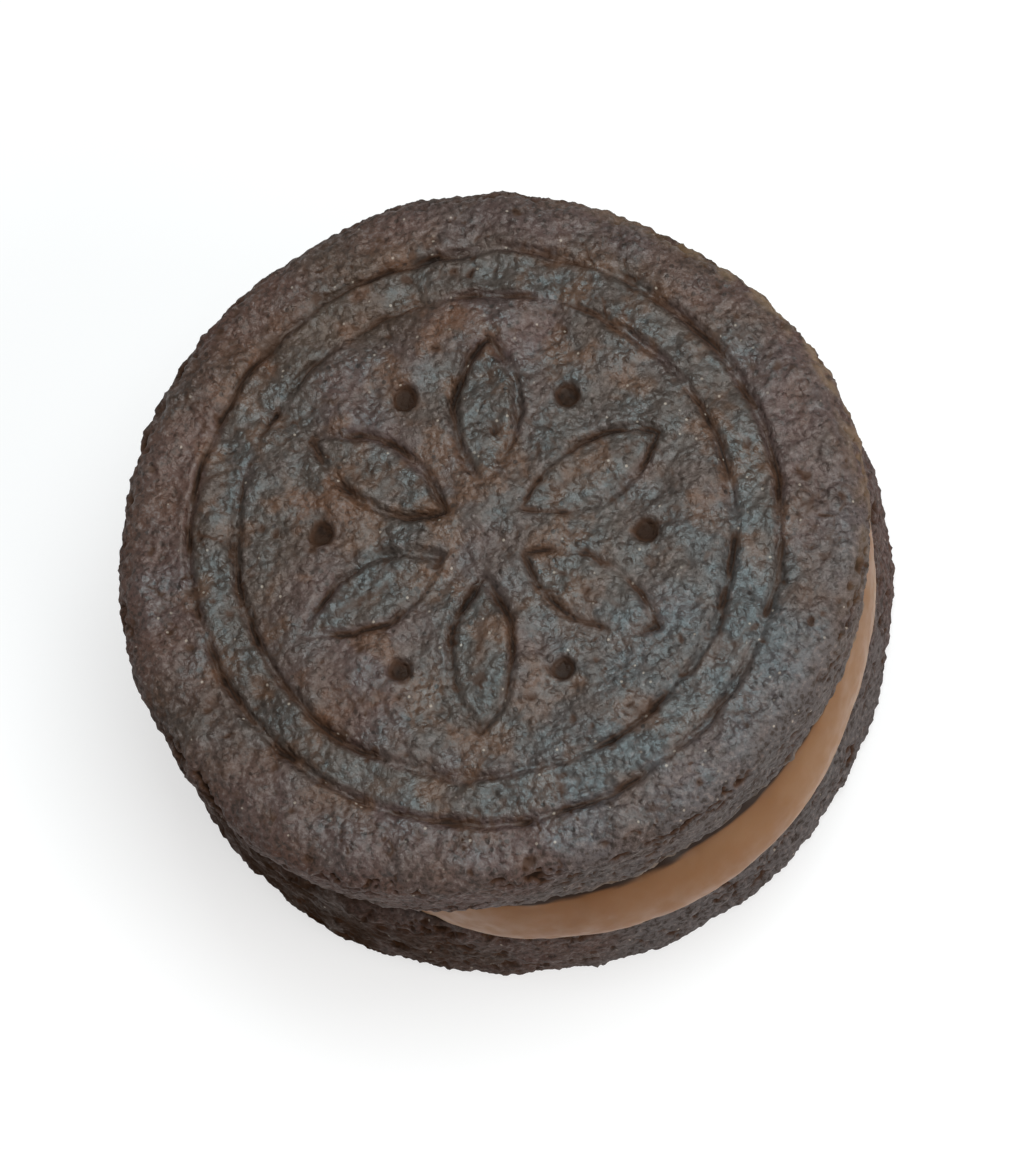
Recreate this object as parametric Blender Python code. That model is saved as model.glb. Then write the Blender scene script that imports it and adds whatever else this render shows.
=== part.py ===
"""Chocolate sandwich cookie: two stamped cocoa biscuits with a thick layer of cream between them.

It lies on its lower biscuit, with its origin on the table under its middle and +Z up. Lengths in metres.
Angles are in degrees, anticlockwise from +X as seen from above.
"""

import math

import bmesh
import bpy
from mathutils import Matrix, Quaternion, Vector

# Driving dimensions
COOKIE_DIAMETER = 0.0444  # mean diameter of the upper biscuit
LOWER_SHARE = 1.023  # size of the lower biscuit's outline, as a share of the upper one's
BISCUIT_THICKNESS = 0.0094
CREAM_THICKNESS = 0.0084
OVALNESS = 0.025  # how much longer than its mean radius the cookie is along X, as a share
GAP = 0.0003  # clearance between pieces that touch

# Biscuit
FACE_ROUNDING = 0.0020  # radius of the edge round the stamped face
INNER_ROUNDING = 0.0017  # radius of the edge next to the cream
SIDE_TAPER = 0.0005  # how much narrower the biscuit is at the cream than at its stamped face
FACE_DOME = 0.0004  # rise of the upper face at its middle
FLAT_SIDE_RINGS = (0.5, 0.9)  # rings on the flat side next to the cream, as shares of its radius
FACE_RINGS = (0.0189, 0.0164, 0.0137, 0.0089, 0.0045)  # radii of the rings on the stamped face

# How far each piece is from round: (waves round the edge, height of the waves, angle of a crest)
UPPER_WAVES = ((3, 0.00038, 95), (5, 0.00012, 70), (7, 0.00005, 15))
LOWER_WAVES = ((2, 0.00034, -15), (3, 0.00021, -26), (4, 0.00027, -14), (5, 0.00009, -20))
CREAM_WAVES = ((3, 0.00012, 300), (5, 0.00009, 80))

# Cream
CREAM_INSET = 0.0004  # how far the cream stays inside the biscuits' edge
CREAM_HOLD = 0.0016  # how far inside their edges the biscuits hold the cream's side
CREAM_BULGE = 0.0005  # bulge of its side where it is as wide as they hold it, and more where it is wider
CREAM_ROUNDNESS = 0.9  # share of a half ellipse that its side follows: 1 would meet the biscuits flat
# Where the cream was pushed in or out: (angle, half width in degrees, distance)
CREAM_PUSHES = ((-144, 24, -0.0027), (-80, 37, 0.00116), (0, 40, 0.00045))

# How the pieces sit: the upper biscuit leans towards the side that the cream was pushed away from
LEAN = 0.5
LEAN_TOWARDS = -144
UPPER_OFFSET = (-0.00055, -0.0003)  # of the upper biscuit and the cream
LOWER_OFFSET = (-0.00005, 0.0007)

# Stamp: grooves along the edges of a round band and round a rosette's pointed petals, and dots between them
STAMP_DEPTH = 0.00050
STAMP_DRAFT = 0.00018  # how far each wall of a groove leans in over its depth
GROOVE_WIDTH = 0.00070  # at the face
BAND_RADII = (0.0150, 0.0178)
PETALS = 6
PETAL_SPAN = (0.0028, 0.0122)  # where a petal starts and ends, from the middle
PETAL_WIDTH = 0.0038
DOT_AT = 0.0098
DOT_RADIUS = 0.00075
DOT_FLOOR_SHARE = 0.6  # a dot's radius at its floor, as a share of that at the face
DOT_DEPTH = 0.0007
UPPER_STAMP_TURN = 8
LOWER_STAMP_TURN = 31

# Facets
ROUND_STEPS = 64
ROUNDING_STEPS = 5
BULGE_STEPS = 8
PETAL_STEPS = 8
DOT_STEPS = 10
CUTTER_RISE = 0.0004  # how far the stamp's cutter stands out above the face

BISCUIT_COLOUR = (0.065, 0.047, 0.038, 1.0)
CREAM_COLOUR = (0.40, 0.24, 0.14, 1.0)


def clear_scene():
    for obj in list(bpy.data.objects):
        bpy.data.objects.remove(obj)


def material(name, colour, roughness):
    made = bpy.data.materials.new(name)
    made.use_nodes = True
    shader = made.node_tree.nodes["Principled BSDF"]
    shader.inputs["Base Color"].default_value = colour
    shader.inputs["Roughness"].default_value = roughness
    shader.inputs["Metallic"].default_value = 0.0
    return made


def add_object(name, mesh, finish=None):
    obj = bpy.data.objects.new(name, mesh)
    bpy.context.scene.collection.objects.link(obj)
    if finish:
        mesh.materials.append(finish)
        mesh.shade_smooth()
        mesh.set_sharp_from_angle(angle=math.radians(35))
    return obj


def turn_angles():
    return [math.tau * step / ROUND_STEPS for step in range(ROUND_STEPS)]


def wrapped(degrees):
    """The angle between -180 and 180."""
    return (degrees + 180) % 360 - 180


def edge_radius(angle, waves, share=1.0):
    """Radius of a biscuit's outline at an angle in radians."""
    radius = share * COOKIE_DIAMETER / 2 * (1 + OVALNESS * math.cos(2 * angle))
    for count, height, crest in waves:
        radius += height * math.cos(count * (angle - math.radians(crest)))
    return radius


def cream_radius(angle):
    """Widest radius of the cream at an angle in radians."""
    radius = edge_radius(angle, CREAM_WAVES) - CREAM_INSET
    for centre, half_width, distance in CREAM_PUSHES:
        away = wrapped(math.degrees(angle) - centre) / half_width
        radius += distance * math.exp(-(away**2))
    return radius


def hold_radius(angle, height_share):
    """Radius at which the upper biscuit holds the cream, or the lower one for a height share below 0."""
    if height_share > 0:
        return edge_radius(angle, UPPER_WAVES) - CREAM_HOLD
    shift = [low - up for low, up in zip(LOWER_OFFSET, UPPER_OFFSET)]
    shifted = shift[0] * math.cos(angle) + shift[1] * math.sin(angle)
    return edge_radius(-angle, LOWER_WAVES, LOWER_SHARE) + shifted - CREAM_HOLD


def cream_side(angle, height_share):
    """Radius of the cream's side at a height from -1, at the lower biscuit, to 1, at the upper one."""
    widest = cream_radius(angle)
    wider = widest - hold_radius(angle, height_share)
    bulge = (wider + math.hypot(wider, 2 * CREAM_BULGE)) / 2
    curve = 1 - math.sqrt(1 - (CREAM_ROUNDNESS * height_share) ** 2)
    return widest - bulge * curve / (1 - math.sqrt(1 - CREAM_ROUNDNESS**2))


def arc(centre_in, centre_up, radius, start, end, steps):
    """Points (distance in from the edge, height) along an arc. 0 degrees points outwards and 90 up."""
    found = []
    for step in range(steps + 1):
        turn = math.radians(start + (end - start) * step / steps)
        found.append((centre_in - radius * math.cos(turn), centre_up + radius * math.sin(turn)))
    return found


def ring(profile_point, outline):
    """One ring of points, a set distance inside the outline at a set height."""
    inward, height = profile_point
    return [
        Vector(((outline(a) - inward) * math.cos(a), (outline(a) - inward) * math.sin(a), height))
        for a in turn_angles()
    ]


def scaled_ring(share, edge, height):
    """A ring inside another one, at a share of its radius."""
    return [Vector((p.x * share, p.y * share, height)) for p in edge]


def join_rings(form, lower, upper):
    """Quads from one ring of vertices up to the next."""
    for i in range(len(lower)):
        following = (i + 1) % len(lower)
        form.faces.new((lower[i], lower[following], upper[following], upper[i]))


def fan(form, rim, middle):
    """Triangles from a ring of vertices to one point, facing the way the ring turns."""
    for i in range(len(rim)):
        form.faces.new((rim[i], rim[(i + 1) % len(rim)], middle))


def closed_form(rings, bottom, top):
    """A mesh through rings listed from the bottom up, closed by a point at each end."""
    form = bmesh.new()
    rows = [[form.verts.new(p) for p in points] for points in rings]
    for lower, upper in zip(rows, rows[1:]):
        join_rings(form, lower, upper)
    fan(form, rows[0][::-1], form.verts.new(bottom))
    fan(form, rows[-1], form.verts.new(top))
    return form


def finished(form, name):
    mesh = bpy.data.meshes.new(name)
    form.to_mesh(mesh)
    form.free()
    return mesh


def face_height(distance, dome):
    """Height of the stamped face at a distance from its middle."""
    flat_radius = COOKIE_DIAMETER / 2 - FACE_ROUNDING
    return BISCUIT_THICKNESS + dome * (1 - min(distance / flat_radius, 1) ** 2)


def biscuit_mesh(name, waves, share, dome):
    """A round biscuit with its cream side at height 0 and its face up."""

    def outline(angle):
        return edge_radius(angle, waves, share)

    inner = arc(INNER_ROUNDING + SIDE_TAPER, INNER_ROUNDING, INNER_ROUNDING, -90, 0, ROUNDING_STEPS)
    outer = arc(FACE_ROUNDING, BISCUIT_THICKNESS - FACE_ROUNDING, FACE_ROUNDING, 0, 90, ROUNDING_STEPS)
    side = [ring(point, outline) for point in inner + outer]
    flat_side = [scaled_ring(share, side[0], 0.0) for share in FLAT_SIDE_RINGS]
    face = [circle(radius, ROUND_STEPS, (0, 0, face_height(radius, dome))) for radius in FACE_RINGS]
    form = closed_form(flat_side + side + face, (0, 0, 0), (0, 0, face_height(0, dome)))
    return finished(form, name)


def groove_loop(points, level, dome):
    """A loop of a groove's cutter. Level 0 is the groove's floor, and level 1 is above the face."""
    rise = CUTTER_RISE if level else -STAMP_DEPTH
    return [Vector((p.x, p.y, face_height(p.length, dome) + rise)) for p in points]


def half_groove(level):
    """Half the width of a groove at a level. Its walls slope evenly."""
    slope = STAMP_DRAFT / STAMP_DEPTH
    return GROOVE_WIDTH / 2 + (slope * CUTTER_RISE if level else -STAMP_DRAFT)


def petal_outline(turn, spread):
    """Points round a petal, a set distance outside it. A petal is the space that two equal arcs enclose."""
    middle = (PETAL_SPAN[0] + PETAL_SPAN[1]) / 2
    half_length = (PETAL_SPAN[1] - PETAL_SPAN[0]) / 2
    half_width = PETAL_WIDTH / 2
    bend = (half_length**2 + half_width**2) / (2 * half_width)
    centre_away = bend - half_width
    tip = math.sqrt((bend + spread) ** 2 - centre_away**2)
    along = [tip * math.sin(math.pi * (i / PETAL_STEPS - 0.5)) for i in range(PETAL_STEPS + 1)]
    side = [(middle + x, math.sqrt((bend + spread) ** 2 - x**2) - centre_away) for x in along]
    points = [Vector((x, -y, 0)) for x, y in side] + [Vector((x, y, 0)) for x, y in side[-2:0:-1]]
    return [Matrix.Rotation(turn, 3, "Z") @ p for p in points]


def circle(radius, steps, centre=(0, 0, 0)):
    turns = [math.tau * i / steps for i in range(steps)]
    return [Vector(centre) + Vector((radius * math.cos(a), radius * math.sin(a), 0)) for a in turns]


def add_groove(form, line, dome):
    """What a groove takes away along a closed line. Line gives its points for a distance outside it."""
    loops = []
    for side, level in ((1, 0), (1, 1), (-1, 1), (-1, 0)):
        points = line(side * half_groove(level))
        loops.append([form.verts.new(p) for p in groove_loop(points, level, dome)])
    for first, second in zip(loops, loops[1:] + loops[:1]):
        join_rings(form, first, second)


def add_dot(form, turn, dome):
    """What a dot takes away: a small cone with its narrow end down."""
    centre = Vector((DOT_AT * math.cos(turn), DOT_AT * math.sin(turn), face_height(DOT_AT, dome)))
    floor = circle(DOT_RADIUS * DOT_FLOOR_SHARE, DOT_STEPS, centre - Vector((0, 0, DOT_DEPTH)))
    widening = 1 + (1 - DOT_FLOOR_SHARE) * CUTTER_RISE / DOT_DEPTH
    top = circle(DOT_RADIUS * widening, DOT_STEPS, centre + Vector((0, 0, CUTTER_RISE)))
    low = [form.verts.new(p) for p in floor]
    high = [form.verts.new(p) for p in top]
    join_rings(form, low, high)
    form.faces.new(low[::-1])
    form.faces.new(high)


def stamp_cutter(biscuit, stamp_turn, dome):
    """What the stamp presses out of a biscuit's face, as a helper that is cut away from it."""
    form = bmesh.new()
    for radius in BAND_RADII:
        add_groove(form, lambda spread: circle(radius + spread, ROUND_STEPS), dome)
    for step in range(PETALS):
        turn = math.radians(stamp_turn) + math.tau * step / PETALS
        add_groove(form, lambda spread: petal_outline(turn, spread), dome)
        add_dot(form, turn + math.pi / PETALS, dome)
    cutter = add_object(biscuit.name + ".stamp", finished(form, biscuit.name + ".stamp"))
    cutter.parent = biscuit
    cutter.hide_render = True
    cutter.display_type = "WIRE"
    cut = biscuit.modifiers.new("stamp", "BOOLEAN")
    cut.operation = "DIFFERENCE"
    cut.solver = "EXACT"
    cut.object = cutter


def lean_direction():
    towards = math.radians(LEAN_TOWARDS)
    return Vector((math.cos(towards), math.sin(towards), 0))


def add_lower_biscuit(finish):
    """The lower biscuit lies with its stamped face down, and that face is flat."""
    mesh = biscuit_mesh("lower_biscuit", LOWER_WAVES, LOWER_SHARE, 0.0)
    biscuit = add_object("lower_biscuit", mesh, finish)
    stamp_cutter(biscuit, LOWER_STAMP_TURN, 0.0)
    biscuit.location = (*LOWER_OFFSET, BISCUIT_THICKNESS)
    biscuit.rotation_euler = (math.pi, 0, 0)


def add_upper_biscuit(finish):
    mesh = biscuit_mesh("upper_biscuit", UPPER_WAVES, 1.0, FACE_DOME)
    biscuit = add_object("upper_biscuit", mesh, finish)
    stamp_cutter(biscuit, UPPER_STAMP_TURN, FACE_DOME)
    biscuit.location = (*UPPER_OFFSET, BISCUIT_THICKNESS + CREAM_THICKNESS)
    biscuit.rotation_mode = "QUATERNION"
    axis = lean_direction().cross(Vector((0, 0, -1)))
    biscuit.rotation_quaternion = Quaternion(axis, math.radians(LEAN))


def add_cream(finish):
    """The cream: flat above and below, with a rounded side. Its top leans as the upper biscuit does."""
    height = CREAM_THICKNESS - 2 * GAP
    rings = []
    for step in range(BULGE_STEPS + 1):
        share = math.sin(math.pi * (step / BULGE_STEPS - 0.5))
        rings.append(ring((0, height / 2 * (1 + share)), lambda angle: cream_side(angle, share)))
    slope = math.tan(math.radians(LEAN))
    for points in rings:
        for p in points:
            p.z -= slope * p.dot(lean_direction()) * p.z / height
    form = closed_form(rings, (0, 0, 0), (0, 0, height))
    cream = add_object("cream", finished(form, "cream"), finish)
    cream.location = (*UPPER_OFFSET, BISCUIT_THICKNESS + GAP)


clear_scene()
biscuit_finish = material("cocoa_biscuit", BISCUIT_COLOUR, 0.62)
cream_finish = material("cream", CREAM_COLOUR, 0.45)
add_lower_biscuit(biscuit_finish)
add_cream(cream_finish)
add_upper_biscuit(biscuit_finish)
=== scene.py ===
"""Looks of the chocolate sandwich cookie: fine meshes of its pieces, their finishes and the studio.

The cookie lies flat with its stamped face up. Lengths are in metres and angles in degrees, anticlockwise
from +X as seen from above, unless a docstring says otherwise.
"""

import functools
import itertools
import math

import bpy
import numpy as np
from mathutils import Matrix, Quaternion, Vector


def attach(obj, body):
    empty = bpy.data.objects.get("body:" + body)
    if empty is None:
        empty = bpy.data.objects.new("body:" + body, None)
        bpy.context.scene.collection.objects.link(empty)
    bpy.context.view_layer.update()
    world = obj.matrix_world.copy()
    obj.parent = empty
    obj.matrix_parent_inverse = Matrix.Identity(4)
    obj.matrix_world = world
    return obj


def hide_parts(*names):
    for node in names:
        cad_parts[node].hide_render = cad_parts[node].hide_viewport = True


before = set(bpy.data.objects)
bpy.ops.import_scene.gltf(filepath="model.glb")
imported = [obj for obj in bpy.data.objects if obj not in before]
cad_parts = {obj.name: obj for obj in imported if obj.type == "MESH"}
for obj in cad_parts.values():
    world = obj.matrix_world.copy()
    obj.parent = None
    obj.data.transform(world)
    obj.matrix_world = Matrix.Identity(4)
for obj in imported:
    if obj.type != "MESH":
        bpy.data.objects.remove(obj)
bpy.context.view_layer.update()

MM = 0.001

# ---------------------------------------------------------------- sizes that the solids have too

COOKIE_DIAMETER = 44.4 * MM
LOWER_SHARE = 1.023  # the lower biscuit's width as a share of the upper one's
BISCUIT_THICKNESS = 9.4 * MM
CREAM_THICKNESS = 8.4 * MM
OVALNESS = 0.025
FACE_ROUNDING = 2.0 * MM
INNER_ROUNDING = 1.7 * MM
SIDE_TAPER = 0.5 * MM
FACE_DOME = 0.4 * MM
# Each wave is (how many go round the edge, height, angle of a crest)
UPPER_WAVES = ((3, 0.38 * MM, 95), (5, 0.12 * MM, 70), (7, 0.05 * MM, 15))
LOWER_WAVES = ((2, 0.34 * MM, -15), (3, 0.21 * MM, -26), (4, 0.27 * MM, -14), (5, 0.09 * MM, -20))
CREAM_WAVES = ((3, 0.12 * MM, 300), (5, 0.09 * MM, 80))
CREAM_INSET = 0.4 * MM
# The cream meets a biscuit at least this far in from its edge, a little less than on the solid
CREAM_HOLD = 1.2 * MM
CREAM_BULGE = 0.5 * MM
CREAM_ROUNDNESS = 0.9
# Each push is (angle of its middle, half its width in degrees, distance)
CREAM_PUSHES = ((-144, 24, -2.7 * MM), (-80, 37, 1.16 * MM), (0, 40, 0.45 * MM))
LEAN = 0.5
LEAN_TOWARDS = -144
UPPER_OFFSET = (-0.55 * MM, -0.3 * MM)
LOWER_OFFSET = (-0.05 * MM, 0.7 * MM)
STAMP_DEPTH = 0.50 * MM
GROOVE_WIDTH = 0.70 * MM
BAND_RADII = (15.0 * MM, 17.8 * MM)
PETALS = 6
PETAL_SPAN = (2.8 * MM, 12.2 * MM)
PETAL_WIDTH = 3.8 * MM
DOT_AT = 9.8 * MM
DOT_RADIUS = 0.75 * MM
DOT_DEPTH = 0.7 * MM
UPPER_STAMP_TURN = 8
LOWER_STAMP_TURN = 31

# ---------------------------------------------------------------- how unevenly it is baked and worn, and painted shade, sheen and highlights

# Each side is (angle of its middle, half its width in degrees, how strong)
# Painted sheen: the dough is paler, bluer and glossier towards these sides
GREYER_SIDES = ((-62, 45, 1.15), (122, 60, -0.9), (-160, 30, -0.3))  # browner where it is negative
# Painted shade: the dough is darker, browner and less shiny towards these sides
UPPER_PAINTED_SHADE_SIDES = ((-158, 34, 0.20),)
LOWER_PAINTED_SHADE_SIDES = ((-152, 36, 1.0), (60, 30, 0.4))
UPPER_RUBBED_SIDES = ((14, 38, 0.9),)  # worn paler round its face
UPPER_HIGHLIT_LIPS = ((-22, 30, 1.0), (-85, 16, 0.6))  # painted highlight: paler along its edge at the cream
# Painted shade: the cream is deeper and darker towards these sides
CREAM_PAINTED_SHADE_SIDES = ((-100, 24, 0.5),)

# ---------------------------------------------------------------- sizes of the fine meshes

FACE_SPACING = 0.170 * MM
SIDE_SPACING = 0.215 * MM
HIDDEN_SPACING = 0.70 * MM
CREAM_SPACING = 0.26 * MM
CREAM_OVERLAP = 0.30 * MM  # how far the cream reaches up and down beside the biscuits' rounded edges
CREAM_HALF = CREAM_THICKNESS / 2 + CREAM_OVERLAP
CREAM_EDGE_TILT = 63  # where the cream's side faces at its upper edge
CONTACT_SHADOW_DEPTH = 0.80 * MM  # height of the painted contact shadow, a dark line along each edge of the cream, with the overlap
SWOLLEN_CONTACT_SHADOW = 0.24  # share of that height that is lost where the cream bulges most
UPPER_SEED = 100
LOWER_SEED = 300
CREAM_SEED = 70

# ---------------------------------------------------------------- fine detail of the stamp

# Each wobble of its outlines is (size, height, step of the seed)
STAMP_WOBBLES = ((0.7 * MM, 0.06 * MM, 5), (1.6 * MM, 0.13 * MM, 0), (5 * MM, 0.22 * MM, 1))
PILLOW_HEIGHT = 0.31 * MM  # how far the middles of the band and the petals stand above the face
LIP_HEIGHT = 0.07 * MM  # dough that is pushed up outside a groove
LIP_AWAY = 1.0 * MM
LIP_WIDTH = 0.4 * MM
RIB_HALF_WIDTH = 0.40 * MM  # the fold along a petal
RIB_DEPTH = 0.20 * MM
CREASE_HALF_WIDTH = 0.24 * MM  # the torn line at the bottom of a groove
CREASE_DEPTH = 0.24 * MM
FIELD_FADE = (17 * MM, 20 * MM)  # the smoother stamped field ends between these radii

# ---------------------------------------------------------------- noise


NOISE_GAIN = 1.7  # brings gradient noise to about -1 to 1


def lattice_hash(cell, seed):
    """A repeatable random 32-bit number for each whole-numbered point."""
    x, y, z = (cell[:, i].astype(np.int64).astype(np.uint32) for i in range(3))
    mixed = x * np.uint32(0x8DA6B343) ^ y * np.uint32(0xD8163841) ^ z * np.uint32(0xCB1AB31F)
    mixed ^= np.uint32(seed * 0x9E3779B1 & 0xFFFFFFFF)
    for shift, factor in ((15, 0x2C1B3C6D), (12, 0x297A2D39), (15, 0x9E3779B1)):
        mixed ^= mixed >> np.uint32(shift)
        mixed *= np.uint32(factor)
    return mixed ^ mixed >> np.uint32(16)


def hash_share(hashed, part=0):
    """A number from 0 to 1 out of a hash. Other parts give other numbers."""
    mixed = hashed * np.uint32(2 * part + 1) * np.uint32(0x85EBCA6B)
    mixed ^= mixed >> np.uint32(13)
    return (mixed * np.uint32(0xC2B2AE35) >> np.uint32(8)) / float(1 << 24)


def smooth_noise(points, size, seed):
    """Gradient noise from about -1 to 1, with features of about that size."""
    scaled = points / size
    cell = np.floor(scaled)
    inside = scaled - cell
    blend = inside**3 * (inside * (inside * 6 - 15) + 10)
    total = np.zeros(len(points))
    for corner in itertools.product((0, 1), repeat=3):
        hashed = lattice_hash(cell + corner, seed)
        slope = np.stack([hash_share(hashed, i) * 2 - 1 for i in range(3)], axis=1)
        weight = np.prod(np.where(corner, blend, 1 - blend), axis=1)
        total += weight * ((inside - corner) * slope).sum(axis=1)
    return total * NOISE_GAIN


def layered_noise(points, size, seed, layers=3, gain=0.5):
    """Noise with finer noise on it."""
    return sum(gain**i * smooth_noise(points, size / 2**i, seed + i) for i in range(layers))


def nearest_seed(points, size, seed):
    """How far, in cubes, the nearest of scattered seeds is, one in each cube of that size, and its hash."""
    scaled = points / size
    cell = np.floor(scaled)
    nearest = np.full(len(points), np.inf)
    owner = np.zeros(len(points), np.uint32)
    for step in itertools.product((-1, 0, 1), repeat=3):
        near = cell + step
        hashed = lattice_hash(near, seed)
        spot = near + np.stack([hash_share(hashed, i) for i in range(3)], axis=1)
        distance = np.linalg.norm(scaled - spot, axis=1)
        closer = distance < nearest
        owner = np.where(closer, hashed, owner)
        nearest = np.where(closer, distance, nearest)
    return nearest, owner


def ramp(value, low, high):
    """0 below low, 1 above high, and smooth between them. Low may be the larger."""
    share = np.clip((value - low) / (high - low), 0, 1)
    return share * share * (3 - 2 * share)


def crumbs(points, size, seed):
    """Rounded crumbs packed side by side, from about -1 between them to 1 on the highest."""
    distance, owner = nearest_seed(points, size, seed)
    return (0.62 - distance) * (1.1 + 1.2 * hash_share(owner, 5))


def pits(points, size, seed, share, radii):
    """Scattered hollows, from 0 to 1 at their middles.

    Share is how many of the seeds make one, and radii are the least and the greatest, in cubes.
    """
    distance, owner = nearest_seed(points, size, seed)
    radius = radii[0] + (radii[1] - radii[0]) * hash_share(owner, 3)
    return np.where(hash_share(owner, 4) < share, ramp(distance, radius, radius * 0.25), 0.0)


def cracks(points, size, seed, width, where):
    """Thin winding lines, from 0 to 1, over the part of the surface where slow noise is above a level."""
    line = np.abs(layered_noise(points, size, seed, 2))
    patch = ramp(smooth_noise(points, size * 2.2, seed + 9), where, where + 0.25)
    return ramp(line, width, width * 0.2) * patch


# ---------------------------------------------------------------- outlines and stamp


def outline(angles, share, waves):
    """Radius of a biscuit's edge at angles in radians."""
    radius = share * COOKIE_DIAMETER / 2 * (1 + OVALNESS * np.cos(2 * angles))
    for count, height, crest in waves:
        radius = radius + height * np.cos(count * (angles - math.radians(crest)))
    return radius


def pushed(angles, pushes):
    """The sum of soft humps at angles in radians, each (its middle, half its width, its height)."""
    total = 0 * angles
    for middle, half_width, height in pushes:
        away = (np.degrees(angles) - middle + 180) % 360 - 180
        total = total + height * np.exp(-((away / half_width) ** 2))
    return total


def cream_outline(angles):
    """Widest radius of the cream at angles in radians."""
    return outline(angles, 1.0, CREAM_WAVES) - CREAM_INSET + pushed(angles, CREAM_PUSHES)


def cream_meets(angles, upwards):
    """Radius at which the cream's side meets a biscuit: the upper one where upwards is above 0."""
    shift = [low - up for low, up in zip(LOWER_OFFSET, UPPER_OFFSET)]
    below = outline(-angles, LOWER_SHARE, LOWER_WAVES)
    below += shift[0] * np.cos(angles) + shift[1] * np.sin(angles)
    widest = cream_outline(angles)
    wider = widest + CREAM_HOLD - np.where(upwards > 0, outline(angles, 1.0, UPPER_WAVES), below)
    return widest - (wider + np.hypot(wider, 2 * CREAM_BULGE)) / 2


def from_cream_edge(points, upwards):
    """How far outside the place where the cream meets a biscuit each point is, seen from above."""
    x = points[:, 0] - UPPER_OFFSET[0]
    y = points[:, 1] - UPPER_OFFSET[1]
    return np.hypot(x, y) - cream_meets(np.arctan2(y, x), upwards)


def petal_inside(x, y):
    """How far inside a petal that lies along +X a point is. It is negative outside."""
    middle = (PETAL_SPAN[0] + PETAL_SPAN[1]) / 2
    half_length = (PETAL_SPAN[1] - PETAL_SPAN[0]) / 2
    half_width = PETAL_WIDTH / 2
    bend = (half_length**2 + half_width**2) / (2 * half_width)
    return bend - np.hypot(x - middle, np.abs(y) + bend - half_width)


def stamp(points, turn, seed):
    """Depth of the stamp below the face, how much of a crease each point is, and how smooth and raised."""
    x, y = points[:, 0], points[:, 1]
    radius = np.hypot(x, y)
    slot = math.tau / PETALS
    around = np.arctan2(y, x) - math.radians(turn)
    petal_angle = (around + slot / 2) % slot - slot / 2
    petal_x, petal_y = radius * np.cos(petal_angle), radius * np.sin(petal_angle)
    dot_angle = around % slot - slot / 2
    dot_x, dot_y = radius * np.cos(dot_angle) - DOT_AT, radius * np.sin(dot_angle)

    wobble = sum(height * smooth_noise(points, size, seed + step) for size, height, step in STAMP_WOBBLES)
    in_band = np.minimum(radius - BAND_RADII[0], BAND_RADII[1] - radius) + wobble
    in_petal = petal_inside(petal_x, petal_y) + wobble
    inside = np.maximum(in_band, in_petal)
    away = np.abs(inside)

    press = np.clip(0.85 + 0.85 * smooth_noise(points, 8 * MM, seed + 2), 0.12, 1.25)
    soft = 0.25 * MM * (1.2 + 1.0 * smooth_noise(points, 3 * MM, seed + 3))
    faded = ramp(smooth_noise(points, 2.6 * MM, seed + 6), -0.75, 0.05)
    depth = STAMP_DEPTH * press * (0.4 + 0.6 * faded) * ramp(away, GROOVE_WIDTH * 0.35 + soft, 0)
    depth -= PILLOW_HEIGHT * press * ramp(inside, 0.2 * MM, 1.0 * MM)
    depth -= LIP_HEIGHT * press * np.exp(-(((inside + LIP_AWAY) / LIP_WIDTH) ** 2))
    rib = ramp(np.abs(petal_y + wobble), RIB_HALF_WIDTH, 0.05 * MM) * ramp(in_petal, 0.4 * MM, 1.0 * MM)
    depth += RIB_DEPTH * rib * press
    torn = np.clip(0.62 + 1.3 * smooth_noise(points, 2.2 * MM, seed + 4), 0.12, 1) * faded
    crease = ramp(away, CREASE_HALF_WIDTH, 0.05 * MM) * torn
    depth += CREASE_DEPTH * crease
    dot = ramp(np.hypot(dot_x, dot_y) + wobble, DOT_RADIUS * 1.25, DOT_RADIUS * 0.6)
    depth = np.maximum(depth, DOT_DEPTH * dot)
    raised = 0.45 * ramp(radius, FIELD_FADE[1], FIELD_FADE[0]) + 0.55 * ramp(inside, 0.1 * MM, 0.7 * MM)
    return depth, np.maximum.reduce([crease, dot * 0.8, rib * 0.4 * torn]), raised


# ---------------------------------------------------------------- fine meshes


def arc_steps(radius, turn, spacing):
    """How many steps an arc takes."""
    return max(2, round(radius * math.radians(turn) / spacing))


def shares(length, spacing):
    """Even steps from 0 to 1, without the 0."""
    count = max(1, round(length / spacing))
    return np.arange(1, count + 1) / count


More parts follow.
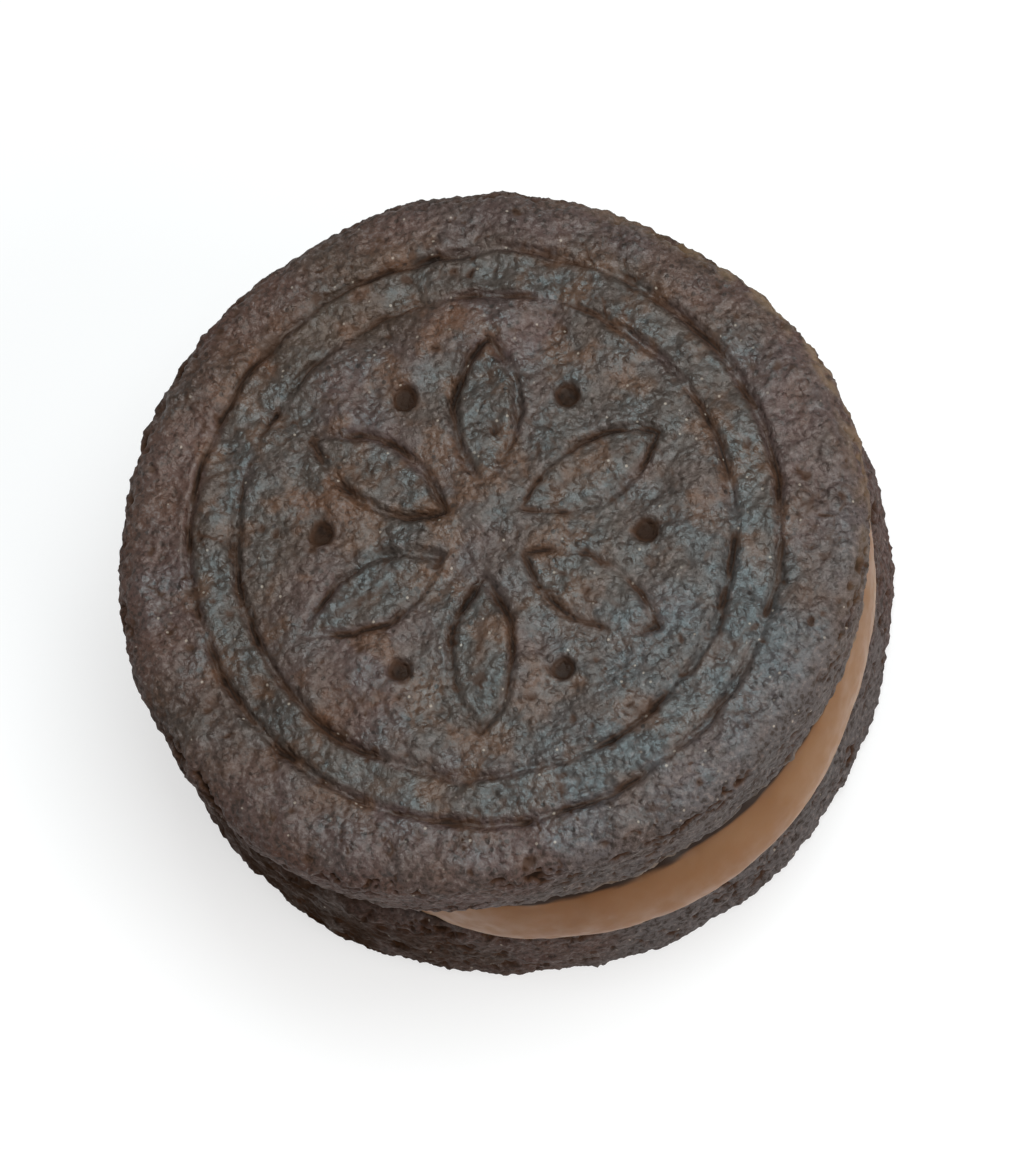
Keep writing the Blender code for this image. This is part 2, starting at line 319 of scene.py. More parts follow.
def biscuit_rings(dome):
    """Rings of a biscuit from the middle of its cream side round to the middle of its face.

    Each ring is (share, inset, height, tilt, spacing): its radius is a share of the outline less an inset,
    and tilt is where its surface faces, from -90 degrees for down to 90 for up.
    """
    rings = []
    inner_inset = INNER_ROUNDING + SIDE_TAPER
    for share in shares(COOKIE_DIAMETER / 2 - inner_inset, HIDDEN_SPACING):
        rings.append((share, inner_inset, 0.0, -90.0, HIDDEN_SPACING))
    steps = arc_steps(INNER_ROUNDING, 90, SIDE_SPACING)
    for tilt in np.linspace(-90, 0, steps + 1)[1:]:
        turn = math.radians(tilt)
        inset = inner_inset - INNER_ROUNDING * math.cos(turn)
        height = INNER_ROUNDING * (1 + math.sin(turn))
        spacing = SIDE_SPACING if tilt > -60 else SIDE_SPACING * 1.6
        rings.append((1.0, inset, height, tilt, spacing))
    side_height = BISCUIT_THICKNESS - FACE_ROUNDING - INNER_ROUNDING
    for share in shares(side_height, SIDE_SPACING):
        height = INNER_ROUNDING + side_height * share
        rings.append((1.0, SIDE_TAPER * (1 - share), height, 0.0, SIDE_SPACING))
    steps = arc_steps(FACE_ROUNDING, 90, FACE_SPACING)
    for tilt in np.linspace(0, 90, steps + 1)[1:]:
        turn = math.radians(tilt)
        inset = FACE_ROUNDING * (1 - math.cos(turn))
        height = BISCUIT_THICKNESS - FACE_ROUNDING * (1 - math.sin(turn))
        rings.append((1.0, inset, height, tilt, FACE_SPACING))
    for share in shares(COOKIE_DIAMETER / 2 - FACE_ROUNDING, FACE_SPACING)[:-1]:
        height = BISCUIT_THICKNESS + dome * (1 - (1 - share) ** 2)
        rings.append((1 - share, FACE_ROUNDING, height, 90.0, FACE_SPACING))
    return rings


def cream_rings():
    """The cream's rings, as in biscuit_rings, from the middle of its underside to that of its top."""
    spacing = 2 * HIDDEN_SPACING
    flat = [(share, 0.0, -CREAM_HALF, -90.0, spacing) for share in shares(COOKIE_DIAMETER / 2, spacing)]
    side = []
    for turn in np.linspace(-90, 90, round(math.pi * CREAM_HALF / CREAM_SPACING) + 1):
        height = CREAM_HALF * math.sin(math.radians(turn))
        side.append((1.0, 0.0, height, CREAM_EDGE_TILT * turn / 90, CREAM_SPACING))
    top = [(share, 0.0, CREAM_HALF, 90.0, spacing) for share, *_ in flat[-2::-1]]
    return flat[:-1] + side + top


def ring_points(rings, edge):
    """Points of all rings, the way that each faces, each ring's span, and each point's tilt.

    A span is (its first index, count, how far along a step its first point is).
    """
    points, facing, spans, tilts, start = [], [], [], [], 0
    for number, (share, inset, height, tilt, spacing) in enumerate(rings):
        count = max(6, round(math.tau * share * (COOKIE_DIAMETER / 2 - inset) / spacing))
        phase = 0.5 * (number % 2)
        angles = (np.arange(count) + phase) * math.tau / count
        radius = share * (edge(angles) - inset)
        level = np.full(count, height)
        points.append(np.stack([radius * np.cos(angles), radius * np.sin(angles), level], axis=1))
        out = math.cos(math.radians(tilt))
        up = np.full(count, math.sin(math.radians(tilt)))
        facing.append(np.stack([out * np.cos(angles), out * np.sin(angles), up], axis=1))
        tilts.append(np.full(count, tilt))
        spans.append((start, count, phase))
        start += count
    return np.concatenate(points), np.concatenate(facing), spans, np.concatenate(tilts)


def zip_rings(lower, upper):
    """Triangles between two rings whose points are even but not equal in number."""
    (low_start, low_count, low_phase), (high_start, high_count, high_phase) = lower, upper
    i = j = 0
    faces = []
    while i < low_count or j < high_count:
        a, b = low_start + i % low_count, high_start + j % high_count
        low_next = (i + 1 + low_phase) / low_count
        high_next = (j + 1 + high_phase) / high_count
        if j == high_count or (i < low_count and low_next <= high_next):
            i += 1
            faces.append((a, low_start + i % low_count, b))
        else:
            j += 1
            faces.append((a, high_start + j % high_count, b))
    return faces


def ring_faces(spans, bottom, top):
    """Triangles through all rings, closed by a fan at each end."""
    faces = []
    for lower, upper in zip(spans, spans[1:]):
        faces += zip_rings(lower, upper)
    for (start, count, _), middle, step in ((spans[0], bottom, -1), (spans[-1], top, 1)):
        ring = [start + i for i in range(count)][::step]
        faces += [(ring[i], ring[(i + 1) % count], middle) for i in range(count)]
    return faces


def closed_mesh(name, points, spans, attributes):
    """A mesh object through rings of points. The last two points are the middles of its two ends."""
    faces = np.array(ring_faces(spans, len(points) - 2, len(points) - 1), np.int32)
    mesh = bpy.data.meshes.new(name)
    mesh.from_pydata(points, [], faces)
    for key, values in attributes.items():
        mesh.attributes.new(key, "FLOAT", "POINT").data.foreach_set("value", values.astype(np.float32))
    mesh.shade_smooth()
    piece = bpy.data.objects.new(name, mesh)
    bpy.context.scene.collection.objects.link(piece)
    return piece


def with_middles(values, middle=0):
    """Values of the rings' points, and that of the two middles."""
    return np.concatenate([values, [middle, middle]])


def biscuit_relief(points, tilts, seed, turn):
    """How far each point of a biscuit moves out along its facing, and the values that its finish reads."""
    on_face = ramp(tilts, 55, 88)
    on_side = ramp(np.abs(tilts), 75, 30)
    from_middle = np.hypot(points[:, 0], points[:, 1])
    on_rim = np.maximum(on_side, ramp(from_middle, BAND_RADII[1], BAND_RADII[1] + 1.5 * MM))
    push = np.stack([smooth_noise(points, 0.8 * MM, seed + i) for i in range(3)], axis=1)
    warped = points + 0.22 * MM * push
    flat = points * (1, 1, 2.6)
    flat_warped = warped * (1, 1, 1.9)

    lumps = smooth_noise(points, 1.6 * MM, seed + 7)
    grains = crumbs(warped, 0.66 * MM, seed + 8)
    fine = smooth_noise(points, 0.42 * MM, seed + 10)
    rough = 1 + 0.5 * on_rim + 0.4 * on_side
    # Each bump is (its form, height in millimetres)
    bumps = (
        (smooth_noise(points, 9 * MM, seed + 5), 0.17),
        (smooth_noise(points, 3.4 * MM, seed + 6), 0.17 + 0.12 * on_face),
        (lumps, 0.115),
        (grains, 0.065 * rough),
        (fine, 0.060 * rough),
        (crumbs(warped, 1.5 * MM, seed + 11), 0.065),
    )

    small_pits = pits(warped, 1.25 * MM, seed + 12, 0.30 + 0.2 * on_rim, (0.17, 0.36))
    side_pits = pits(flat_warped, 2.4 * MM, seed + 13, 0.46, (0.17, 0.42)) * on_side
    side_cracks = cracks(flat, 2.6 * MM, seed + 14, 0.10, -0.08) * on_side
    face_cracks = cracks(points, 2.9 * MM, seed + 15, 0.035, 0.30) * on_face
    wrinkles = cracks(warped, 1.7 * MM, seed + 17, 0.13, -0.15) * (1 - 0.5 * on_side)
    on_edge = ramp(tilts, 10, 35) * ramp(tilts, 85, 60)
    chips = pits(warped, 4.2 * MM, seed + 16, 0.30, (0.16, 0.30)) * on_edge
    # Each hollow is (its form, depth in millimetres, how much of a crevice it is)
    hollows = (
        (small_pits, 0.20 * (0.7 + on_side), 0.6),
        (side_pits, 0.42, 1.0),
        (side_cracks, 0.30, 0.9),
        (face_cracks, 0.10, 0.6),
        (chips, 0.40, 0.5),
        (wrinkles, 0.06, 0.35),
    )

    seen = ramp(tilts, -88, -60)
    relief = sum(form * height for form, height in bumps) - sum(form * depth for form, depth, _ in hollows)
    stamp_depth, crease, raised = stamp(points, turn, seed + 20)
    # How much of a crevice each point is; the finish paints shade there and makes it rougher and less shiny
    crevice = crease * on_face + sum(form * weight for form, _, weight in hollows)
    looks = {
        "crevice": np.clip(crevice, 0, 1) * seen,
        "grain": (grains + fine * 0.5 + lumps * 0.5) * seen,
        "raised": raised * on_face,
    }
    return relief * MM * seen - stamp_depth * on_face, looks


def baking(points, tilts, upwards, seed, painted_shade_sides, rubbed_sides, highlit_lips):
    """The values that its finish reads: how a placed biscuit is baked and worn, and where shade, sheen and
    highlights are painted.
    """
    angles = np.arctan2(points[:, 1], points[:, 0])
    outwards = np.hypot(points[:, 0], points[:, 1]) / (COOKIE_DIAMETER / 2)
    beyond = from_cream_edge(points, upwards) + 0.1 * MM * smooth_noise(points, 1.5 * MM, seed + 19)
    inner = tilts < -15
    # Painted highlight: a thin broken pale golden line just outside the cream, and along that edge on given
    # sides; rubbed dough is paler too
    golden = ramp(beyond, 0.15 * MM, 0.30 * MM) * ramp(beyond, 0.60 * MM, 0.45 * MM)
    golden *= ramp(smooth_noise(points, 3 * MM, seed + 18), 0.0, 0.3)
    worn_and_highlit = pushed(angles, rubbed_sides) * ramp(tilts, -5, 8) * ramp(tilts, 66, 32)
    worn_and_highlit += pushed(angles, highlit_lips) * ramp(tilts, -40, -20) * ramp(tilts, 2, -8)
    worn_and_highlit *= 0.9 * ramp(smooth_noise(points, 1.3 * MM, seed + 21), -0.5, 0.2)
    return {
        # painted contact shadow: a thin dark line on the biscuit just outside the cream
        "painted_contact_shadow": inner * ramp(beyond, 0.35 * MM, 0.15 * MM),
        "golden": inner * golden + worn_and_highlit,
        "side": ramp(np.abs(tilts), 70, 20),
        # painted sheen, paler and bluer on the greyer sides, and browner away from them
        "painted_sheen_side": pushed(angles, GREYER_SIDES) * outwards,
        # painted shade towards the given sides, more of it away from the middle
        "painted_shade": pushed(angles, painted_shade_sides) * ramp(outwards, 0.2, 0.8),
    }


def biscuit(name, share, waves, dome, seed, turn, placing, painted_shade_sides, rubbed_sides=(), highlit_lips=()):
    """A biscuit in a fine mesh. Placing is where its middle on the cream side goes."""
    edge = functools.partial(outline, share=share, waves=waves)
    points, facing, spans, tilts = ring_points(biscuit_rings(dome), edge)
    moved, looks = biscuit_relief(points, tilts, seed, turn)
    points = points + facing * moved[:, None]
    face_height = points[spans[-1][0]:, 2].mean()
    points = np.concatenate([points, [(0, 0, 0), (0, 0, face_height)]])
    turned = placing.to_3x3()
    placed = points @ np.array(turned).T + np.array(placing.translation)
    placed[:, 2] = np.maximum(placed[:, 2], 0)
    looks |= baking(placed[:-2], tilts, turned[2][2], seed, painted_shade_sides, rubbed_sides, highlit_lips)
    attributes = {key: with_middles(values) for key, values in looks.items()}
    return closed_mesh(name, placed, spans, attributes)


def lean_direction():
    """The level direction towards which the upper biscuit leans down."""
    towards = math.radians(LEAN_TOWARDS)
    return Vector((math.cos(towards), math.sin(towards), 0))


def upper_placing():
    axis = lean_direction().cross(Vector((0, 0, -1)))
    turn = Quaternion(axis, math.radians(LEAN)).to_matrix().to_4x4()
    return Matrix.Translation((*UPPER_OFFSET, BISCUIT_THICKNESS + CREAM_THICKNESS)) @ turn


def lower_placing():
    return Matrix.Translation((*LOWER_OFFSET, BISCUIT_THICKNESS)) @ Matrix.Rotation(math.pi, 4, "X")


def cream_piece(name):
    """The cream in a fine mesh, with its upper side leaning like the upper biscuit."""
    points, facing, spans, tilts = ring_points(cream_rings(), cream_outline)
    angles = np.arctan2(points[:, 1], points[:, 0])
    upwards = points[:, 2] / CREAM_HALF
    overhang = cream_outline(angles) - cream_meets(angles, upwards)
    curve = (1 - np.sqrt(1 - (CREAM_ROUNDNESS * upwards) ** 2)) / (1 - math.sqrt(1 - CREAM_ROUNDNESS**2))
    points[:, :2] *= (1 - overhang / cream_outline(angles) * curve)[:, None]

    upright = points * (1, 1, 0.12)
    near_biscuit = ramp(np.abs(points[:, 2]), CREAM_THICKNESS * 0.42, CREAM_THICKNESS * 0.5)
    holes = pits(points, 2.6 * MM, CREAM_SEED + 6, 0.22, (0.05, 0.11))
    # Each bump is (its form, height in millimetres)
    bumps = (
        (smooth_noise(upright, 1.1 * MM, CREAM_SEED + 1), 0.035),
        (smooth_noise(upright, 0.45 * MM, CREAM_SEED + 2), 0.02),
        (smooth_noise(points, 6 * MM, CREAM_SEED + 3), 0.16),
        (smooth_noise(points, 2 * MM, CREAM_SEED + 4), 0.05),
        (smooth_noise(points, 1.7 * MM, CREAM_SEED + 5) * near_biscuit, 0.22),
        (holes, -0.22),
    )
    # A painted contact shadow: a dark line along each edge of the cream, less high where the cream bulges
    # most
    shadow_line_height = CONTACT_SHADOW_DEPTH * (1 - SWOLLEN_CONTACT_SHADOW * ramp(overhang, 0.6 * MM, 2.2 * MM))
    shadow_line_start = CREAM_HALF - shadow_line_height - 0.12 * MM * smooth_noise(points, 2.5 * MM, CREAM_SEED + 7)
    line = ramp(np.abs(points[:, 2]), shadow_line_start, shadow_line_start + 0.08 * MM)
    on_side = ramp(np.abs(tilts), 89, 62)
    moved = sum(form * height for form, height in bumps) * on_side * MM

    points = points + facing * moved[:, None]
    points = np.concatenate([points, [(0, 0, -CREAM_HALF), (0, 0, CREAM_HALF)]])
    rise = points[:, 2] / CREAM_THICKNESS + 0.5
    points[:, 2] -= math.tan(math.radians(LEAN)) * (points @ np.array(lean_direction())) * rise
    points += (*UPPER_OFFSET, BISCUIT_THICKNESS + CREAM_THICKNESS / 2)
    attributes = {
        "edge": with_middles(near_biscuit, 1),
        "hole": with_middles(holes * on_side),
        "line": with_middles(line),
        "cream_painted_shade": with_middles(pushed(angles, CREAM_PAINTED_SHADE_SIDES)),
    }
    return closed_mesh(name, points, spans, attributes)


# ---------------------------------------------------------------- finishes


MIX_FACTOR, MIX_A, MIX_B = 0, 6, 7  # the colour inputs of a mix node, which share their names with others
MIX_RESULT = 2


class Finish:
    """A material whose nodes are added by short calls."""

    def __init__(self, name):
        self.material = bpy.data.materials.new(name)
        self.material.use_nodes = True
        self.tree = self.material.node_tree
        self.shader = self.tree.nodes["Principled BSDF"]
        self.place = self.node("ShaderNodeTexCoord").outputs["Object"]

    def node(self, kind, links=(), **settings):
        """A node of that kind. Links gives the source or the value of its sockets."""
        made = self.tree.nodes.new(kind)
        for key, value in settings.items():
            setattr(made, key, value)
        for socket, source in dict(links).items():
            self.connect(source, made.inputs[socket])
        return made

    def connect(self, source, socket):
        """Leads another socket or a plain value into a socket."""
        if isinstance(source, bpy.types.NodeSocket):
            self.tree.links.new(source, socket)
        else:
            socket.default_value = source

    def shade(self, name, source):
        """Leads another socket or a plain value into the shader."""
        self.connect(source, self.shader.inputs[name])

    def attribute(self, name):
        return self.node("ShaderNodeAttribute", attribute_name=name).outputs["Fac"]

    def noise(self, size, detail=2.0, roughness=0.5, place=None):
        links = {"Vector": place or self.place, "Scale": 1 / size, "Detail": detail, "Roughness": roughness}
        return self.node("ShaderNodeTexNoise", links).outputs["Fac"]

    def jogged(self, size, distance):
        """The place, pushed about by noise of that size."""
        noise = self.node("ShaderNodeTexNoise", {"Vector": self.place, "Scale": 1 / size, "Detail": 2.0})
        links = {0: noise.outputs["Color"], 1: (distance,) * 3}
        push = self.node("ShaderNodeVectorMath", links, operation="MULTIPLY").outputs[0]
        return self.node("ShaderNodeVectorMath", {0: self.place, 1: push}, operation="ADD").outputs[0]

    def cells(self, size, place=None):
        """Distance to the nearest of scattered points, in sizes, and the random numbers of that point."""
        cells = self.node("ShaderNodeTexVoronoi", {"Vector": place or self.place, "Scale": 1 / size})
        picks = self.node("ShaderNodeSeparateColor", {"Color": cells.outputs["Color"]})
        return cells.outputs["Distance"], picks.outputs

    def math(self, operation, *values, clamp=False):
        made = self.node("ShaderNodeMath", operation=operation, use_clamp=clamp)
        for socket, value in zip(made.inputs, values):
            self.connect(value, socket)
        return made.outputs[0]

    def plus(self, first, second, clamp=False):
        return self.math("ADD", first, second, clamp=clamp)

    def times(self, first, second):
        return self.math("MULTIPLY", first, second)

    def ranged(self, value, low, high, to_low=0.0, to_high=1.0):
        """The value taken smoothly from one range to another. Low may be the larger."""
        links = {"Value": value, "From Min": low, "From Max": high, "To Min": to_low, "To Max": to_high}
        return self.node("ShaderNodeMapRange", links, interpolation_type="SMOOTHSTEP").outputs["Result"]

    def mixed(self, share, first, second, blend="MIX"):
        """That share of the second colour over the first."""
        links = {MIX_FACTOR: share, MIX_A: first, MIX_B: second}
        return self.node("ShaderNodeMix", links, data_type="RGBA", blend_type=blend).outputs[MIX_RESULT]

    def bump(self, height, distance, strength=1.0, normal=None):
        links = {"Height": height, "Distance": distance, "Strength": strength}
        if normal:
            links["Normal"] = normal
        return self.node("ShaderNodeBump", links).outputs["Normal"]


def colour(red, green, blue):
    return (red, green, blue, 1.0)


COCOA = colour(0.036, 0.024, 0.018)
COCOA_PALE = colour(0.050, 0.038, 0.031)
COCOA_MAUVE = colour(0.074, 0.041, 0.038)
COCOA_WARM = colour(0.090, 0.040, 0.018)
COCOA_ASHEN = colour(0.122, 0.095, 0.087)
# the pale blue-grey of the painted sheen
COCOA_PAINTED_SHEEN = colour(0.064, 0.070, 0.075)
BROWNER = colour(1.0, 0.80, 0.62)
# the darker brown of the painted shade on given sides
PAINTED_SHADE_BROWN = colour(0.024, 0.011, 0.005)
# Painted shade in crevices, creases and hollows; the darker one also gives the dough's dark specks
CREVICE_SHADE = colour(0.044, 0.019, 0.009)
DARK_SPECK_AND_SHADE = colour(0.014, 0.0065, 0.0035)
SHADED = colour(0.93, 0.83, 0.79)
SHEEN_COOL = colour(0.75, 0.95, 1.0)
SHEEN_WARM = colour(1.0, 0.86, 0.78)
GOLDEN = colour(0.20, 0.13, 0.075)
# pale sugar, partly a painted glint
SUGAR_AND_GLINT = colour(0.32, 0.27, 0.22)


def cocoa_patches(made, side, raised, blotches, painted_sheen_and_gloss, brown):
    """The dough's slow changes of colour, from mauve and rusty to a painted blue-grey sheen, browner away
    from it, with painted shade in the grain's hollows and on the sides.
    """
    grain = made.attribute("grain")
    base = made.mixed(made.ranged(made.noise(5.0 * MM, 3, 0.5), 0.36, 0.64), COCOA, COCOA_PALE)
    mauve = made.plus(made.noise(7.0 * MM, 2), made.times(raised, -0.30))
    base = made.mixed(made.ranged(mauve, 0.25, 0.60, 0.0, 0.75), base, COCOA_MAUVE)
    rusty = made.ranged(blotches, 0.48, 0.66, 0.0, 0.75)
    base = made.mixed(made.times(rusty, made.ranged(raised, 0.0, 0.40, 0.30, 1.0)), base, COCOA_WARM)
    # painted sheen in pale blue-grey on the greyer sides, and browner and darker away from them
    base = made.mixed(made.times(painted_sheen_and_gloss, made.ranged(side, 0.0, 1.0, 0.45, 0.70)), base, COCOA_PAINTED_SHEEN)
    base = made.mixed(made.times(brown, 0.9), base, BROWNER, "MULTIPLY")
    # paler on the tops of the grain, and painted shade in its hollows
    base = made.mixed(made.ranged(grain, 0.1, 1.1, 0.0, 0.30), base, COCOA_PALE)
    base = made.mixed(made.ranged(grain, -0.1, -1.0, 0.0, 0.55), base, CREVICE_SHADE)
    # painted shade: the sides are darker and warmer
    return made.mixed(side, base, SHADED, "MULTIPLY")


def cocoa_specks(made, base, side, raised):
    """Fine dark and pale speckle over that colour, with some small dark specks."""
    speckle = made.noise(0.38 * MM, 3, 0.65)
    strength = made.ranged(made.plus(side, made.times(raised, -0.6)), -0.6, 0.5, 0.45, 0.85)
    base = made.mixed(made.times(made.ranged(speckle, 0.50, 0.38), strength), base, DARK_SPECK_AND_SHADE)
    base = made.mixed(made.times(made.ranged(speckle, 0.54, 0.68), strength), base, COCOA_ASHEN)
    distance, picks = made.cells(0.55 * MM)
    speck = made.times(made.ranged(distance, 0.34, 0.22), made.ranged(picks["Red"], 0.80, 0.86))
    return made.mixed(made.times(speck, 0.8), base, DARK_SPECK_AND_SHADE)


def sugar_and_glint_grains(made, base):
    """A few pale grains of sugar over that colour; their paleness is partly a painted glint."""
    distance, picks = made.cells(0.34 * MM)
    sugar_and_glint = made.times(made.ranged(picks["Green"], 0.962, 0.990), made.ranged(distance, 0.34, 0.16))
    return made.mixed(made.times(sugar_and_glint, 0.7), base, SUGAR_AND_GLINT)


def cocoa_sheen(made, crevice, side, raised, painted_sheen_and_gloss, brown, painted_shade):
    """A cool sheen on the face, and little in crevices and where shade is painted on the dough."""
    glossy = made.plus(made.noise(2.8 * MM, 3, 0.55), made.times(raised, 0.14))
    glossy = made.plus(glossy, made.times(painted_sheen_and_gloss, 0.12))
    glossy = made.plus(glossy, made.times(brown, -0.10))
    glossy = made.times(made.ranged(glossy, 0.36, 0.80), made.math("SUBTRACT", 1.0, side))
    made.shade("Specular Tint", made.mixed(glossy, SHEEN_WARM, SHEEN_COOL))
    rough = made.ranged(glossy, 0.0, 1.0, 0.52, 0.43)
    rough = made.plus(rough, made.times(crevice, 0.3), clamp=True)
    rough = made.plus(rough, made.times(side, 0.25), clamp=True)
    made.shade("Roughness", rough)
    level = made.times(made.ranged(side, 0.0, 1.0, 0.57, 0.40), made.ranged(painted_shade, 0.0, 0.9, 1.0, 0.10))
    level = made.times(level, made.ranged(crevice, 0.1, 0.8, 1.0, 0.40))
    made.shade("Specular IOR Level", level)


def cocoa_crumb(made, raised):
    """Crumb that is too fine for the mesh: noise, and jagged grit on it whose grains differ in height."""
    noise = made.noise(0.36 * MM, 3, 0.7)
    coarse = made.bump(noise, 0.08 * MM, made.ranged(raised, 0.0, 0.4, 1.0, 0.85))
    distance, picks = made.cells(0.46 * MM, made.jogged(0.5 * MM, 0.4 * MM))
    height = made.ranged(picks["Red"], 0.0, 1.0, 0.15, 1.0)
    grit = made.times(made.ranged(distance, 0.0, 0.80, 1.0, 0.0), height)
    made.shade("Normal", made.bump(grit, 0.10 * MM, 1.0, coarse))


def cocoa_finish():
    """Baked cocoa dough, which reads from the mesh how each point of it is baked, and where shade, sheen
    and highlights are painted on it.
    """
    made = Finish("cocoa_biscuit")
    crevice = made.attribute("crevice")
    side = made.attribute("side")
    raised = made.attribute("raised")
    blotches = made.noise(2.4 * MM, 2, 0.5)
    slow = made.math("MULTIPLY_ADD", made.noise(6.0 * MM, 2), 1.8, -0.9)
    painted_sheen_side = made.plus(made.attribute("painted_sheen_side"), slow)
    painted_sheen_and_gloss = made.ranged(painted_sheen_side, 0.20, 0.90)
    brown = made.ranged(painted_sheen_side, -0.15, -0.95)
    painted_shade = made.times(made.attribute("painted_shade"), made.ranged(blotches, 0.30, 0.60, 0.35, 1.0))

    base = cocoa_patches(made, side, raised, blotches, painted_sheen_and_gloss, brown)
    base = cocoa_specks(made, base, side, raised)
    # painted shade: darker brown towards the given sides
    base = made.mixed(painted_shade, base, PAINTED_SHADE_BROWN)
    # painted shade in the stamp's creases and in the hollows, darkest in the deepest
    base = made.mixed(made.ranged(crevice, 0.05, 0.50, 0.0, 0.85), base, CREVICE_SHADE)
    base = made.mixed(made.ranged(crevice, 0.50, 1.0, 0.0, 0.95), base, DARK_SPECK_AND_SHADE)
    # painted highlight: pale golden along the biscuit's edge at the cream, and worn paler round the face
    base = made.mixed(made.times(made.attribute("golden"), 0.8), base, GOLDEN)
    # painted contact shadow along the cream
    base = made.mixed(made.attribute("painted_contact_shadow"), base, DARK_SPECK_AND_SHADE)
    made.shade("Base Color", sugar_and_glint_grains(made, base))
    cocoa_sheen(made, crevice, side, raised, painted_sheen_and_gloss, brown, painted_shade)
    cocoa_crumb(made, raised)
    return made.material


CREAM = colour(0.180, 0.083, 0.031)
CREAM_PALE = colour(0.208, 0.105, 0.047)
# A deeper, darker cream for painted shade near the biscuits, in the holes and on given sides
CREAM_DEEP = colour(0.150, 0.062, 0.021)


def cream_finish():
    """Smooth tan cream with faint upright streaks, a painted contact shadow as a dark line along each edge,
    and painted shade near the biscuits, in its holes and on given sides.
    """
    made = Finish("cream")
    stretched = made.node("ShaderNodeMapping", {"Vector": made.place, "Scale": (1, 1, 0.12)})
    streaks = made.noise(1.3 * MM, 3, 0.55, stretched.outputs["Vector"])
    line = made.attribute("line")
    base = made.mixed(made.ranged(made.noise(6 * MM, 2), 0.35, 0.65), CREAM, CREAM_PALE)
    base = made.mixed(made.ranged(streaks, 0.45, 0.7, 0.0, 0.35), base, CREAM_PALE)
    # painted shade: deeper and darker near the biscuits, on given sides and in the holes
    base = made.mixed(made.ranged(made.attribute("edge"), 0.1, 1.0, 0.0, 0.75), base, CREAM_DEEP)
    base = made.mixed(made.attribute("cream_painted_shade"), base, CREAM_DEEP)
    base = made.mixed(made.times(made.attribute("hole"), 0.8), base, CREAM_DEEP)
    # painted contact shadow: the dark line along each edge
    made.shade("Base Color", made.mixed(made.times(line, 0.95), base, DARK_SPECK_AND_SHADE))
    made.shade("Specular IOR Level", 0.18)
    made.shade("Subsurface Weight", made.ranged(line, 0.0, 1.0, 0.55, 0.0))
    made.shade("Subsurface Radius", (1.0, 0.55, 0.30))
    made.shade("Subsurface Scale", 0.9 * MM)
    made.shade("Roughness", made.ranged(made.noise(1.0 * MM, 2), 0.3, 0.7, 0.42, 0.56))
    fine = made.bump(made.noise(0.35 * MM, 3, 0.6), 0.012 * MM, 0.6)
    made.shade("Normal", made.bump(streaks, 0.03 * MM, 0.6, fine))
    return made.material


FLOOR_GREY = colour(0.44, 0.44, 0.44)
FLOOR_PALE = colour(0.46, 0.46, 0.46)
FLOOR_GLOW = colour(1.0, 1.0, 1.0)


def floor_finish():
    """A white floor that glows a little, so that it comes out white all round."""
    made = Finish("studio_floor")
    made.shade("Base Color", made.mixed(made.noise(0.2, 1), FLOOR_GREY, FLOOR_PALE))
    made.shade("Roughness", 0.9)
    made.shade("Specular IOR Level", 0.1)
    made.shade("Emission Color", FLOOR_GLOW)
    made.shade("Emission Strength", 0.60)
    return made.material


# ---------------------------------------------------------------- studio

VIEW_ELEVATION = 72
VIEW_ROLL = 22
VIEW_DISTANCE = 0.36
VIEW_WIDTH = 62 * MM  # how much the picture takes in across, at the cookie
VIEW_AIM = Vector((-0.1 * MM, -1.1 * MM, 20 * MM))
PICTURE = (1020, 1150)  # its width and height
SENSOR = 36.0
WORLD_TINT = colour(1.0, 0.99, 0.97)
WORLD_STRENGTH = 0.36
FLOOR_HALF = 1.5
FLOOR_BELOW = 0.02 * MM


def camera_axes():
    """The camera's right, up and backward directions."""
    elevation = math.radians(VIEW_ELEVATION)
    back = Vector((0, -math.cos(elevation), math.sin(elevation)))
    level_right = Vector((1, 0, 0))
    level_up = back.cross(level_right)
    roll = math.radians(VIEW_ROLL)
    right = level_right * math.cos(roll) - level_up * math.sin(roll)
    up = level_right * math.sin(roll) + level_up * math.cos(roll)
    return right, up, back


def add_camera():
    right, up, back = camera_axes()
    data = bpy.data.cameras.new("camera")
    data.sensor_width = SENSOR
    data.lens = SENSOR * VIEW_DISTANCE / (VIEW_WIDTH * PICTURE[1] / PICTURE[0])
    camera = bpy.data.objects.new("camera", data)
    facing = Matrix((right, up, back)).transposed().to_4x4()
    camera.matrix_world = Matrix.Translation(VIEW_AIM + back * VIEW_DISTANCE) @ facing
    bpy.context.scene.collection.objects.link(camera)
    bpy.context.scene.camera = camera


def add_light(name, towards, distance, size, power, tint):
    """A square light that faces the cookie.

    Towards is its direction from there, along the camera's right, up and backward directions.
    """
    right, up, back = camera_axes()
    direction = (right * towards[0] + up * towards[1] + back * towards[2]).normalized()
    data = bpy.data.lights.new(name, "AREA")
    data.size = size
    data.energy = power
    data.color = tint
    light = bpy.data.objects.new(name, data)
    light.location = VIEW_AIM + direction * distance
    light.rotation_euler = (-direction).to_track_quat("-Z", "Y").to_euler()
    bpy.context.scene.collection.objects.link(light)


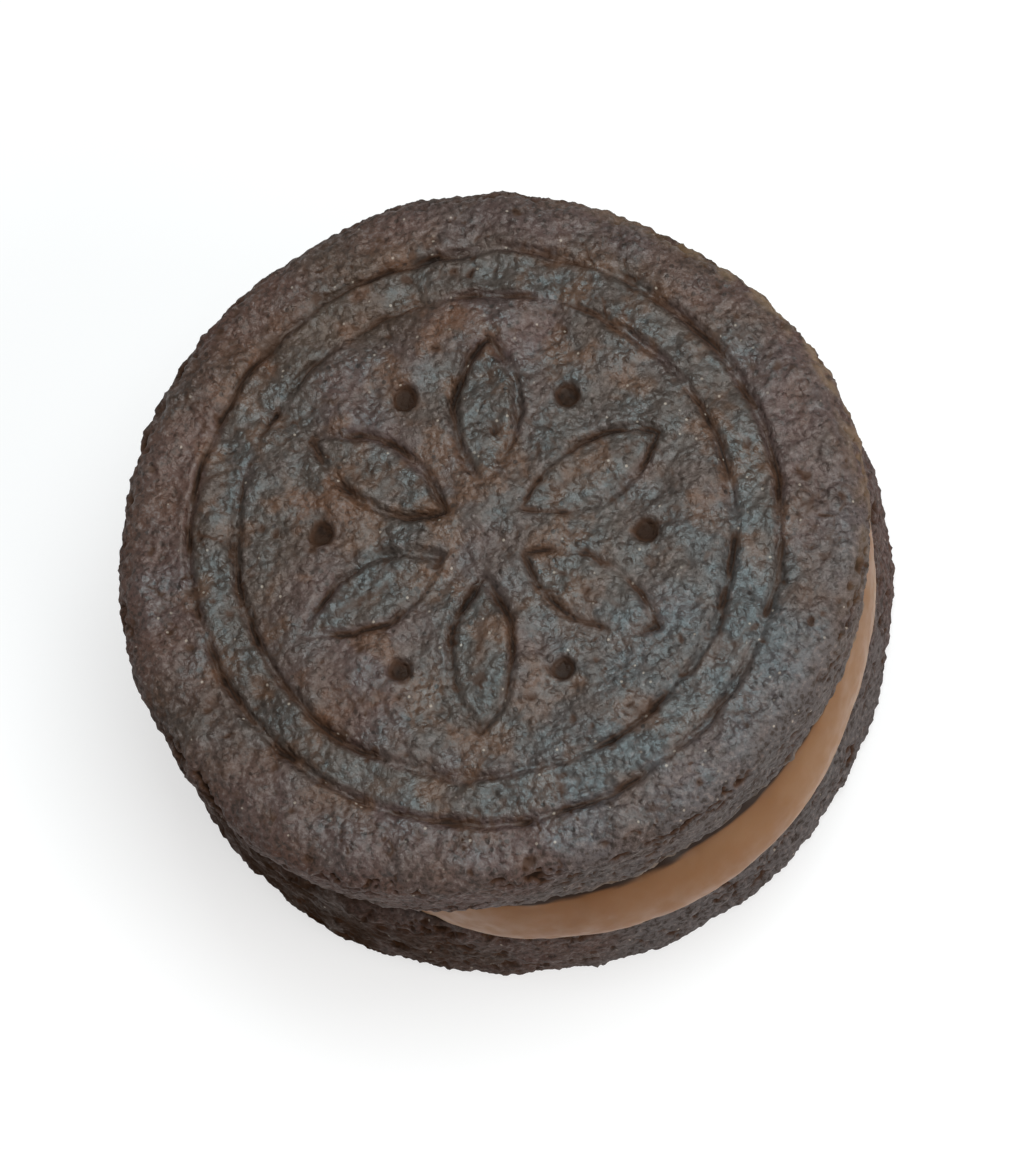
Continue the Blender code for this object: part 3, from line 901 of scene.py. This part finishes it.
def add_floor():
    mesh = bpy.data.meshes.new("floor")
    corners = [(x * FLOOR_HALF, y * FLOOR_HALF, 0) for x, y in ((-1, -1), (1, -1), (1, 1), (-1, 1))]
    mesh.from_pydata(corners, [], [(0, 1, 2, 3)])
    mesh.materials.append(floor_finish())
    floor = bpy.data.objects.new("floor", mesh)
    floor.location = (0, 0, -FLOOR_BELOW)
    bpy.context.scene.collection.objects.link(floor)


def add_studio():
    world = bpy.data.worlds.new("studio")
    world.use_nodes = True
    background = world.node_tree.nodes["Background"]
    background.inputs["Color"].default_value = WORLD_TINT
    background.inputs["Strength"].default_value = WORLD_STRENGTH
    bpy.context.scene.world = world
    bpy.context.scene.view_settings.view_transform = "Standard"
    add_light("key", (0.75, -0.30, 0.80), distance=0.40, size=0.30, power=0.96, tint=(1.0, 0.98, 0.96))
    add_light("sheen", (0.04, 0.33, 0.92), distance=0.19, size=0.08, power=0.28, tint=(0.88, 0.97, 1.0))
    add_floor()


# ---------------------------------------------------------------- the cookie


def dress(piece, finish, node):
    """Gives a fine mesh its finish, and puts it in the place of the solid."""
    piece.data.materials.append(finish)
    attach(piece, "root")
    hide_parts(node)


cocoa = cocoa_finish()
upper = biscuit(
    "upper_biscuit_baked",
    share=1.0,
    waves=UPPER_WAVES,
    dome=FACE_DOME,
    seed=UPPER_SEED,
    turn=UPPER_STAMP_TURN,
    placing=upper_placing(),
    painted_shade_sides=UPPER_PAINTED_SHADE_SIDES,
    rubbed_sides=UPPER_RUBBED_SIDES,
    highlit_lips=UPPER_HIGHLIT_LIPS,
)
lower = biscuit(
    "lower_biscuit_baked",
    share=LOWER_SHARE,
    waves=LOWER_WAVES,
    dome=0.0,
    seed=LOWER_SEED,
    turn=LOWER_STAMP_TURN,
    placing=lower_placing(),
    painted_shade_sides=LOWER_PAINTED_SHADE_SIDES,
)
dress(upper, cocoa, "upper_biscuit")
dress(lower, cocoa, "lower_biscuit")
dress(cream_piece("cream_spread"), cream_finish(), "cream")
add_camera()
add_studio()
